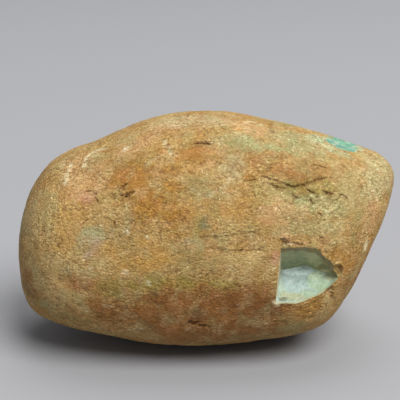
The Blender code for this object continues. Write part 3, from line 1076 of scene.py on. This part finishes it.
# Patches of the rind by pixel: middle, half width and half height, turn in degrees,
# colour and strength. A later patch lies over an earlier one
patches = {
    "bend": 5.0,           # mm that an edge wanders over a long way
    "bendSize": 14.0,
    "fray": 1.8,           # mm that it wanders over a short way
    "fraySize": 3.2,
    "wanderSeed": 6,       # without a seed, vector noise starts from the clock
    "fullness": 1.4,       # how fast a patch fills in from its edge
    "speckle": 0.4,        # how much a patch is broken up by specks
    "speckleSize": 2.4,    # mm
    "drift": (("ochre", 1.6), ("pale sand", -1.6)),   # broad clouds under all patches, and contrast
    "driftStrength": 0.35,
    "driftSize": 13.0,     # mm
    "seen": {
        "green wash on the right": ((318, 190), (72, 58), 10, "sage", 0.3),
        "green wash at the top": ((262, 140), (58, 24), 6, "sage", 0.4),
        "golden left end": ((42, 222), (30, 48), 0, "gold", 0.5),
        # pale stone, and painted light on the left end, which turns away from the key light
        "pale stone and painted light on the left edge": ((36, 220), (20, 36), 0, "pale sand", 0.9),
        "pale low left": ((62, 278), (36, 32), 20, "pale sand", 1.0),
        "pale step left of the window": ((271, 272), (6, 12), 0, "pale sand", 0.5),
        # painted light on the left end
        "painted light on the left end": ((58, 236), (32, 64), 0, "light gold", 0.35),
        "peach shoulder": ((82, 176), (28, 26), -30, "peach", 0.75),
        "pink by the scratches": ((86, 196), (14, 10), 0, "pink", 0.6),
        "dusk on the shoulder": ((70, 196), (10, 12), -20, "peach", 0.4),
        "ochre band above the pits": ((140, 171), (44, 20), -8, "ochre", 1.0),
        "orange in the band": ((142, 176), (28, 13), -4, "orange", 0.35),
        "ochre round the pits": ((144, 196), (40, 18), -4, "ochre", 0.9),
        "ochre in the middle": ((160, 214), (38, 24), 8, "ochre", 0.95),
        "orange in the middle": ((160, 214), (28, 12), -12, "ochre", 0.6),
        "gold below the middle": ((140, 256), (46, 16), 0, "gold", 0.7),
        "peach saddle": ((136, 146), (28, 9), -16, "peach", 0.65),
        "grey green eye": ((94, 234), (17, 12), -15, "grey green", 0.7),
        "mist in the eye": ((97, 242), (7, 5), -30, "mist", 0.4),
        "mist beside the eye": ((84, 238), (9, 6), 10, "grey green", 0.5),
        "grey green by the scratch": ((130, 218), (12, 14), 0, "grey green", 0.35),
        "mist below the scratch": ((126, 228), (6, 5), -30, "mist", 0.3),
        "pale top": ((196, 120), (52, 9), -2, "mist", 0.35),
        "peach top left": ((160, 128), (22, 8), -20, "peach", 0.5),
        "gold under the upper crack": ((200, 152), (24, 13), 0, "ochre", 0.95),
        "orange under the upper crack": ((202, 149), (11, 5), 0, "orange", 0.7),
        "peach top": ((246, 127), (30, 8), 8, "peach", 0.85),
        "gold in the peach": ((238, 130), (14, 4), 5, "gold", 0.5),
        "sage under the peach": ((264, 147), (50, 11), 8, "sage", 0.95),
        "sage by the polished spot": ((298, 141), (36, 12), 14, "sage", 0.9),
        "grey green rim": ((318, 141), (20, 7), 22, "grey green", 0.85),
        "green skin by the spot": ((318, 139.4), (13, 6), 22, "verdigris", 0.8),
        "far side of the spot": ((341, 140.2), (15, 7), 22, "turquoise", 1.0),
        "green skin under the spot": ((341, 152), (18, 3.5), 22, "verdigris", 0.6),
        "dusk past the spot": ((363, 156), (8, 4), 38, "olive", 0.5),
        "grey green past the spot": ((380, 170), (22, 26), 25, "grey green", 0.55),
        "ochre brow": ((276, 162), (40, 13), 2, "tan", 0.9),
        "tan brow": ((312, 170), (34, 13), 4, "tan", 0.95),
        "rust of the long crack": ((302, 184.6), (11, 2.6), -5, "red brown", 0.85),
        "ochre left of the crack": ((248, 177), (14, 7), 0, "ochre", 0.7),
        "sage middle": ((198, 186), (22, 14), 0, "sage", 0.5),
        "sage bank": ((231, 168), (16, 20), 20, "grey green", 0.5),
        "mist in the bank": ((229, 160), (8, 9), 20, "grey green", 0.45),
        "sage shelf": ((314, 204), (38, 14), 6, "sage", 0.75),
        "green on the shelf": ((298, 204), (14, 8), 0, "grey green", 0.3),
        # darker olive round the long crack, with painted shade on the shelf below it
        "olive and painted shade round the long crack": ((298, 186), (52, 14), 2, "olive", 0.5),
        "dusk left of the middle": ((180, 184), (24, 22), 0, "brown", 0.14),
        "dusk on the top": ((220, 154), (56, 15), 4, "brown", 0.22),
        "dusk by the bank": ((222, 168), (20, 12), 0, "brown", 0.25),
        # painted shade of the shelf under the long crack
        "painted shade by the crack's left": ((282, 184), (18, 7), 0, "brown", 0.3),
        "dusk left of the window": ((248, 278), (14, 10), 0, "brown", 0.25),
        "pale by the eye": ((94, 262), (16, 14), 0, "pale sand", 0.3),
        # painted shade of the shelf under the long crack
        "painted shade at the shelf's top": ((312, 185), (34, 9), 2, "olive", 0.6),
        "dusk along the crown": ((196, 130), (60, 10), -3, "tan", 0.4),
        "pale over the tip": ((334, 236), (28, 20), 10, "pale sand", 0.35),
        "dusk over the brow": ((296, 172), (38, 10), 2, "red brown", 0.35),
        "dusk by the scratches": ((78, 184), (24, 14), -20, "ochre", 0.2),
        "dusk low right": ((352, 276), (12, 20), 25, "brown", 0.45),
        "gold in the middle right": ((240, 208), (24, 14), 0, "gold", 0.35),
        "peach under the shelf": ((276, 212), (22, 9), 6, "peach", 0.6),
        "pale right flank": ((352, 186), (26, 24), 20, "grey green", 0.2),
        "golden right edge": ((374, 214), (9, 24), 22, "peach", 0.6),
        "tan right edge": ((354, 240), (14, 20), 25, "tan", 0.5),
        "sage above the window": ((310, 228), (34, 9), 4, "sage", 0.5),
        "brown right of the window": ((345, 262), (14, 16), 20, "ochre", 0.85),
        "slate halo": ((206, 226), (12, 14), 0, "olive", 0.5),
        "slate spot": ((206, 224), (4.5, 8), -8, "slate", 0.5),
        "sage band": ((205, 244), (38, 10), -4, "sage", 0.35),
        "mist at the band's end": ((194, 241), (8, 5), 0, "mist", 0.35),
        "sage lower middle": ((190, 268), (34, 13), 0, "sage", 0.25),
        "gold lower right": ((244, 258), (32, 15), -3, "pale sand", 0.75),
        "peach by the window": ((264, 244), (13, 15), 0, "pale sand", 0.5),
        "orange low left": ((76, 282), (24, 14), 20, "orange", 0.45),
        "pale over the orange": ((84, 266), (16, 14), 0, "pale sand", 0.45),
        "rust streak low left": ((82, 284), (16, 7), -20, "orange", 0.65),
        "pale low left of the middle": ((104, 262), (18, 9), 8, "pale sand", 0.3),
        "olive spots low left": ((110, 288), (20, 9), 8, "olive", 0.5),
        "olive low middle": ((164, 284), (60, 11), 3, "olive", 0.75),
        "olive low right": ((224, 282), (34, 8), 4, "olive", 0.6),
        "red spot": ((199, 286), (11, 7), 0, "rust", 0.7),
        # the belly patches are a brown stain, and also painted shade where the stone turns under
        "brown belly": ((210, 316), (102, 30), 0, "red brown", 0.85),
        "brown belly right": ((254, 302), (40, 24), -6, "brown", 0.85),
        "brown belly middle": ((190, 300), (64, 9), 3, "brown", 0.5),
        "red belly": ((122, 314), (46, 14), 6, "red brown", 0.65),
        # rust, and painted shade along the bottom
        "rust and painted shade below": ((150, 338), (60, 10), 6, "rust", 0.35),
        # brown, and painted shade on the underside
        "brown and painted shade on the keel": ((240, 336), (90, 12), -3, "brown", 0.6),
        "dark halo of the pits": ((198, 318), (18, 8), 0, "umber", 0.45),
        "peach heel": ((72, 304), (26, 9), 28, "pale sand", 0.8),
        "sage heel": ((45, 306), (10, 8), 40, "sage", 0.7),
        "brown far left": ((27, 284), (9, 18), -20, "brown", 0.6),
        "gold below the window": ((312, 309), (28, 11), -30, "ochre", 0.7),
        "sage keel right": ((291, 328), (20, 8), -20, "sage", 0.4),
        "brown below the tip": ((328, 292), (10, 6), -48, "tan", 0.6),
        "gold at the top left": ((70, 150), (16, 5), -35, "gold", 0.4),
    },
    "hidden": 150,                    # patches of the same kinds where the photo can't see
    "hiddenSeed": 4,
    "hiddenUnseen": 0.05,             # at most how far the skin there faces the camera
    "hiddenRadii": (4.0, 17.0),       # mm
    "hiddenShapes": (0.3, 0.8),       # the smaller radius, of the larger one
    "hiddenStrengths": (0.4, 0.85),
    "hiddenColours": (
        "pale sand", "gold", "gold", "ochre", "ochre", "peach",
        "tan", "sage", "grey green", "olive", "orange",
    ),
}

# Veins and small marks by pixel: reach to each side in mm, colour, strength, and points
veins = {
    "step": 0.4,         # mm between the points of a line
    "seen": {
        "left vein": (1.4, "cream", 0.75, ((71, 164), (68.5, 170), (66, 177), (65, 184))),
        "left vein's head": (1.6, "mist", 0.5, ((61, 166), (66, 163))),
        "arc": (1.4, "cream", 0.65, ((84, 166), (86, 158), (91, 153), (98, 150), (106, 149))),
        "arc's inside": (1.6, "cream", 0.5, ((92, 156), (98, 154))),
        "saddle vein": (1.1, "mist", 0.5, ((163, 140), (167, 146), (171, 152), (173, 156))),
        "middle streak": (1.0, "mist", 0.4, ((146, 166), (152, 160), (160, 156))),
        "top streak": (1.0, "cream", 0.5, ((172, 126), (179, 125), (186, 126))),
        "peach speck row": (1.0, "cream", 0.7, ((246, 123), (250, 121.5), (254, 122))),
        "pale bank line": (1.2, "mist", 0.35, ((206, 196), (216, 192), (226, 186), (232, 176))),
        "pale line above the window": (1.1, "cream", 0.5, ((285, 245), (291, 243.8), (297, 244.6))),
        "white edge mark": (2.0, "cream", 0.8, ((366.2, 243.6), (365.4, 248.4))),
        "salmon by the scratches": (3.4, "salmon", 0.35, ((80, 198), (90, 200))),
        "tail of the eye": (2.6, "mauve", 0.6, ((98, 241), (92, 249), (86, 257))),
        "rust on the heel": (3.6, "orange", 0.6, ((70, 286), (78, 284), (86, 277))),
        "rust streak over it": (2.2, "rust", 0.4, ((74, 291), (90, 282))),
        "slate streak": (1.7, "slate", 0.6, ((205.4, 218), (206.6, 228))),
        "brown lip of the window": (
            1.2, "lip brown", 0.85,
            ((283, 248), (290, 247.6), (300, 247.8), (309, 248), (316, 248.8), (321, 252)),
        ),
        "pale ridge": (0.8, "pale sand", 0.8,
                       ((331.5, 264.6), (336, 262.6), (340, 262.6), (342.8, 265.6), (343, 271))),
        "shade inside that ridge": (1.0, "brown", 0.6,
                                    ((333, 267.6), (338, 266.4), (340.6, 270), (340.4, 274))),
        "pale ring": (0.7, "pale sand", 0.7,
                      ((326.6, 299), (327, 294), (329.8, 290.4), (333.6, 291.6), (334.4, 297))),
        "shade inside the ring": (0.9, "brown", 0.5, ((330, 298.6), (330.8, 294.6), (332, 298.6))),
        "olive chip right of the window": (2.0, "lip brown", 0.8, ((334, 265.6), (338, 268.6), (339.6, 273))),
        "brown chips below the tip": (1.3, "umber", 0.45, ((326.6, 290), (329, 287.6), (331.6, 286))),
        "pink chips below the tip": (1.0, "salmon", 0.5, ((325.6, 292.6), (328, 291))),
        "pink nub": (2.0, "salmon", 0.55, ((284.4, 237.4), (288.6, 239.4))),
        "pink by the window": (2.3, "salmon", 0.8, ((276, 254.5), (275, 258), (274.6, 262))),
        "brown rim right of it": (1.5, "tan", 0.7, ((321, 252), (327, 257.6), (332, 263), (338, 268))),
        "nub": (2.0, "cream", 0.7, ((275.5, 303), (277, 304.5))),
        "pale scar left": (1.2, "mist", 0.45, ((62, 270), (70, 272))),
        "low streak": (0.9, "cream", 0.35, ((104, 306), (112, 306))),
    },
    "speckColour": "cream",
    "speckStrength": 0.85,
    "speckCore": 1.2,    # more than 1 for specks whose middles are full
    "speckBroken": 0.3,  # of what a patch is broken up
    "specks": {          # middle, radius in mm
        "white speck": ((125.6, 272.5), 1.5),
        "white speck right of it": ((149, 283), 1.2),
        "pale spot on the saddle": ((125.6, 149), 2.0),
        "top speck": ((261.5, 125), 1.1),
        "top speck left": ((225, 125), 0.9),
        "eye speck": ((127, 232), 1.1),
        "orange field speck": ((146, 237), 0.9),
        "low speck": ((90, 268), 1.0),
        "middle speck": ((98, 154), 1.1),
    },
}


# Patches inside the window, by pixel as on the skin
windowPaint = {
    "ceiling": (0.05, 6.0),    # below which facing up a wall turns to ceiling, and how fast
    "sawn": (0.75, 8.0),       # above which facing right a wall counts as sawn, and how fast
    "fullness": 1.7,           # how fast a patch fills in from its edge
    "ragged": 0.3,             # how much its edge is broken up
    "raggedSize": 2.0,         # mm
    "rims": (                  # mm under the skin, how far that wanders, wall, colour and strength
        (3.6, 0.6, "ceiling", "straw", 0.6),         # pale stone just inside the rind
        (2.9, 0.6, "ceiling", "lip brown", 0.95),    # the brown rind that the ceiling cuts through
        (1.0, 0.5, "floor", "straw", 0.8),
    ),
    "rimBlend": 0.5,           # mm
    "patches": {
        "blue middle": ((294, 281), (17, 13), 0, "window blue", 0.85),
        "mint right": ((319, 284), (14, 9), -30, "mint", 0.75),
        "mint at the edge": ((309, 294), (9, 4), -20, "mint", 0.6),
        "straw bottom": ((292, 297), (17, 5), -4, "straw", 0.75),
        "straw tip": ((331, 278), (8, 3.5), -20, "straw", 0.7),
        "straw left": ((282, 284), (3, 12), 3, "straw", 0.2),
        # painted light: the floor by the crease made paler than its own colour, against the crease's shade
        "painted light by the crease": ((300, 271), (21, 5.5), 0, "pale aqua", 0.9),
        "painted light right of the crease": ((318, 274), (12, 5), 25, "pale mint", 0.9),
        # darker olive, and painted shadow along the left part of the crease
        "dark olive and painted shadow on the left ceiling": ((290, 264), (12, 6), 0, "deep olive", 0.7),
        # paler olive, and painted light where the ceiling turns towards the light
        "pale olive and painted light on the right ceiling": ((313, 258), (8, 9), 20, "bright olive", 0.7),
        "brown step": ((327.5, 264), (13, 4.6), 59, "lip brown", 0.9),
        "pale chip low right": ((324, 271), (5, 1.8), 30, "ivory", 0.8),
        "pale chip high right": ((317, 255), (3, 1.6), 40, "ivory", 0.6),
        "dark gash": ((282.5, 298.4), (7, 1.3), 3, "slate", 0.9),
    },
}


def wander(points):
    # the points pushed about by noise, so that a patch measured from them has ragged edges
    noise.seed_set(patches["wanderSeed"])
    moved = points.copy()
    for i, place in enumerate(points):
        place = Vector(place)
        bend = noise.noise_vector(place / (patches["bendSize"] * mm)) * patches["bend"]
        fray = noise.noise_vector(place / (patches["fraySize"] * mm)) * patches["fray"]
        moved[i] += np.array(bend + fray) * mm
    return moved


def hiddenPatches():
    # seeded patches on the skin that the camera doesn't see, each as a frame, colour and strength
    draw = random.Random(patches["hiddenSeed"])
    found = []
    for _ in range(patches["hidden"]):
        place, facing = unseenPlace(draw, patches["hiddenUnseen"])
        along = facing.orthogonal().normalized()
        along.rotate(Matrix.Rotation(draw.uniform(0, math.pi), 3, facing))
        radius = draw.uniform(*patches["hiddenRadii"]) * mm
        radii = (radius, radius * draw.uniform(*patches["hiddenShapes"]))
        colour = draw.choice(patches["hiddenColours"])
        spot = (place, facing, (along, facing.cross(along)), radii)
        found.append((spot, colour, draw.uniform(*patches["hiddenStrengths"])))
    return found


def cloudsAt(points, size, fade=0.8, octaves=2):
    # at each point, a fractal noise of this size in mm about 0
    return np.array([noise.fractal(Vector(place) / (size * mm), fade, 2.0, octaves) for place in points])


def plainTints(points, colour):
    return np.tile(linear(palette[colour])[:3], (len(points), 1))


def blend(tints, colour, share):
    # the tints with a colour laid over them, by each point's share
    share = share[:, None]
    return tints * (1 - share) + np.array(linear(palette[colour])[:3]) * share


def nearestOf(places, points):
    # each point's distance to the nearest of a few places, in mm
    gaps = [np.linalg.norm(points - np.array(place), axis=1) for place in places]
    return np.min(gaps, axis=0) / mm


def rindColours(points):
    moved = wander(points)
    speckle = cloudsAt(points, patches["speckleSize"])
    drift = cloudsAt(points, patches["driftSize"], octaves=3)
    tints = plainTints(points, "sand")

    def lay(share, colour, strength, broken=1.0):
        nonlocal tints
        share = share * patches["fullness"] + (share > 0) * speckle * broken * patches["speckle"]
        tints = blend(tints, colour, np.clip(share, 0, 1) * strength)

    for colour, contrast in patches["drift"]:
        lay(np.clip(drift * contrast, 0, 1), colour, patches["driftStrength"])
    for spot, colour, strength in hiddenPatches():
        lay(frameShares(moved, *spot), colour, strength)
    for place, halfSizes, turn, colour, strength in patches["seen"].values():
        lay(frameShares(moved, *patchFrame(place, halfSizes, turn)), colour, strength)
    for width, colour, strength, pixels in veins["seen"].values():
        line = skinLine(pixels, veins["step"])
        lay(np.clip(1 - nearestOf(line, points) / width, 0, 1), colour, strength)
    for place, radius in veins["specks"].values():
        away = nearestOf([onSkin(*place)[0]], points) / radius
        share = np.clip(veins["speckCore"] - away, 0, 1)
        lay(share, veins["speckColour"], veins["speckStrength"], veins["speckBroken"])
    return tints


def windowColours(points, facings):
    # the window's walls: which wall a point is on, then the patches, then the rims under the skin
    depths = np.array([skinNow.find_nearest(place)[3] for place in points]) / mm
    ragged = cloudsAt(points, windowPaint["raggedSize"], fade=0.9)
    tints = plainTints(points, "window floor")

    def lay(share, colour, strength):
        nonlocal tints
        tints = blend(tints, colour, np.clip(share, 0, 1) * strength)

    start, speed = windowPaint["ceiling"]
    ceiling = np.clip((start - facings[:, 2]) * speed, 0, 1)
    start, speed = windowPaint["sawn"]
    sawn = np.clip((facings[:, 0] - start) * speed, 0, 1)
    walls = {"ceiling": ceiling, "floor": 1 - ceiling}
    lay(ceiling, "window ceiling", 1.0)
    lay(sawn, "ivory", 1.0)
    for place, halfSizes, turn, colour, strength in windowPaint["patches"].values():
        spot = patchFrame(place, halfSizes, turn, windowWalls)
        share = frameShares(points, *spot)
        share = share * windowPaint["fullness"] + ragged * windowPaint["ragged"] * (share > 0)
        own = walls["ceiling" if spot[1].z > window["ceilingSide"] else "floor"]
        lay(share * own, colour, strength)
    for deep, wanders, wall, colour, strength in windowPaint["rims"]:
        share = (deep - depths + ragged * wanders) / windowPaint["rimBlend"]
        lay(share * walls[wall] * (1 - sawn), colour, strength)
    return tints


def dishColours(points):
    # the polished spot: turquoise with milky clouds, and dull grey green where it runs out
    start, end = (onSkin(*dish[side])[0] for side in ("polishedFrom", "polishedTo"))
    heading = (end - start).normalized()
    along = points @ np.array(heading)
    beside = np.maximum(start.dot(heading) - along, along - end.dot(heading)) / mm
    near = dish["middle"][1] - dish["polishedNear"] - points[:, 1] / mm
    cloud = cloudsAt(points, dish["cloudSize"])
    outside = np.maximum(beside, near) + cloud * dish["ragged"]
    worn = np.clip(outside / dish["runOut"] + 0.5, 0, 1)
    contrast, strength = dish["clouds"]
    tints = plainTints(points, "turquoise")
    tints = blend(tints, "pale turquoise", np.clip(cloud * contrast, 0, 1) * strength)
    return blend(tints, "grey green", worn), worn


def paint(piece):
    # each corner of a face takes the colour of its own kind of surface, so edges stay crisp
    freshKind, polishedKind = 1, 2   # the rind is 0, and the cuts bring theirs in this order
    mesh = piece.data
    points, facings = pointsOf(mesh), normalsOf(mesh)
    kinds = np.empty(len(mesh.polygons), dtype=np.int32)
    mesh.polygons.foreach_get("material_index", kinds)
    counts = np.empty(len(mesh.polygons), dtype=np.int32)
    mesh.polygons.foreach_get("loop_total", counts)
    kinds = np.repeat(kinds, counts)
    verts = np.empty(len(mesh.loops), dtype=np.int32)
    mesh.loops.foreach_get("vertex_index", verts)

    tints = np.ones((len(verts), 4))
    tints[:, :3] = rindColours(points)[verts]
    inside = np.zeros((len(points), 3))
    cut = np.unique(verts[kinds == freshKind])
    inside[cut] = windowColours(points[cut], facings[cut])
    tints[kinds == freshKind, :3] = inside[verts[kinds == freshKind]]
    worn = np.zeros(len(points))
    cut = np.unique(verts[kinds == polishedKind])
    inside[cut], worn[cut] = dishColours(points[cut])
    tints[kinds == polishedKind, :3] = inside[verts[kinds == polishedKind]]
    mesh.attributes.new("worn", "FLOAT", "POINT").data.foreach_set("value", worn)
    tint = mesh.attributes.new("tint", "FLOAT_COLOR", "CORNER")
    tint.data.foreach_set("color", tints.ravel())


paint(pebble)
pebble.data.shade_smooth()
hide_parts("pebble")
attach(pebble, "root")
print("painted")


# A plain pale floor, and soft studio light from high in front, a little to the right
studio = {
    "floorSize": 12.0,             # m
    "floorColour": "#969698",
    "floorRoughness": 0.9,
    "worldColour": "#F4F7FF",
    "worldStrength": 0.30,
    "aimedAt": (0.0, 0.0, 0.05),   # m
    "lights": {                    # place and size in m, power in W
        "key": ((2.2, -2.65, 4.7), 3.9, 445.0),
        "top": ((0.46, 1.4, 5.3), 3.45, 117.0),
    },
}


def makeStudio():
    shape = bmesh.new()
    bmesh.ops.create_grid(shape, x_segments=1, y_segments=1, size=studio["floorSize"] / 2)
    floor = newPiece("floor", shape)
    material = bpy.data.materials.new("matt paper")
    material.use_nodes = True
    surface = material.node_tree.nodes["Principled BSDF"]
    surface.inputs["Base Color"].default_value = linear(studio["floorColour"])
    surface.inputs["Roughness"].default_value = studio["floorRoughness"]
    floor.data.materials.append(material)
    for name, (place, size, power) in studio["lights"].items():
        data = bpy.data.lights.new(name, "AREA")
        data.shape = "DISK"
        data.size = size
        data.energy = power
        light = bpy.data.objects.new(name, data)
        light.location = place
        beam = Vector(studio["aimedAt"]) - Vector(place)
        light.rotation_euler = beam.to_track_quat("-Z", "Y").to_euler()
        scene.collection.objects.link(light)
    world = bpy.data.worlds.new("studio")
    world.use_nodes = True
    background = world.node_tree.nodes["Background"]
    background.inputs["Color"].default_value = linear(studio["worldColour"])
    background.inputs["Strength"].default_value = studio["worldStrength"]
    scene.world = world
    scene.view_settings.view_transform = "Standard"


makeStudio()
